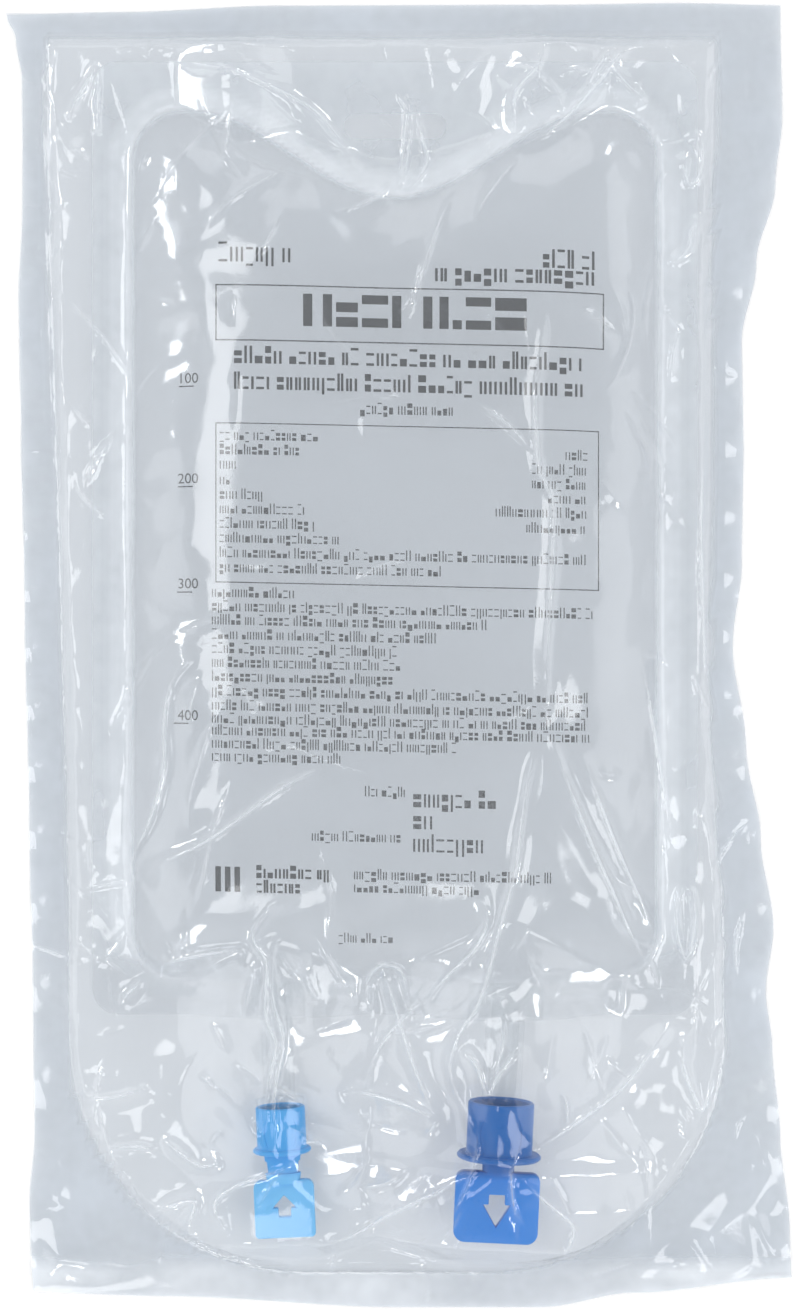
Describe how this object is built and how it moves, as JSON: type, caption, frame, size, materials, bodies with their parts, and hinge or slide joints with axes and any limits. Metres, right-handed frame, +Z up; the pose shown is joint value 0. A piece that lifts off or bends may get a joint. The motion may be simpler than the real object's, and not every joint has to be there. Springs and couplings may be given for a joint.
{
  "type": "iv fluid bag",
  "caption": "Soft clear bag of infusion fluid, half filled, lying flat in its sealed clear overwrap, with two port tubes ending in blue break-off caps.",
  "frame": {"origin": "under the middle of the pouch, on the flat face of the lower film that it rests on", "axes": "+Z up from the resting face, +Y along the length towards the hanging end, the ports towards -Y, +X across to the side of the dark blue infusion port"},
  "size_m": [0.183, 0.3042, 0.021],
  "materials": {
    "overwrap_film": "clear crinkled polyolefin film, glossy",
    "bag_film": "clear soft polyolefin film, slightly hazy, dark grey print",
    "saline": "clear water-like fluid",
    "port_clear": "clear moulded polypropylene",
    "stopper_rubber": "grey synthetic rubber",
    "cap_dark_blue": "satin moulded plastic, mid blue",
    "cap_light_blue": "satin moulded plastic, light blue, slightly translucent"
  },
  "bodies": {
    "root": {"overwrap_front_film": "overwrap_film", "overwrap_back_film": "overwrap_film", "bag_front_film": "bag_film", "bag_back_film": "bag_film", "saline_fill": "saline", "infusion_port_tube": "port_clear", "infusion_port_stopper": "stopper_rubber", "infusion_port_cap": "cap_dark_blue", "injection_port_tube": "port_clear", "injection_port_stopper": "stopper_rubber", "injection_port_cap": "cap_light_blue"}
  },
  "joints": []
}
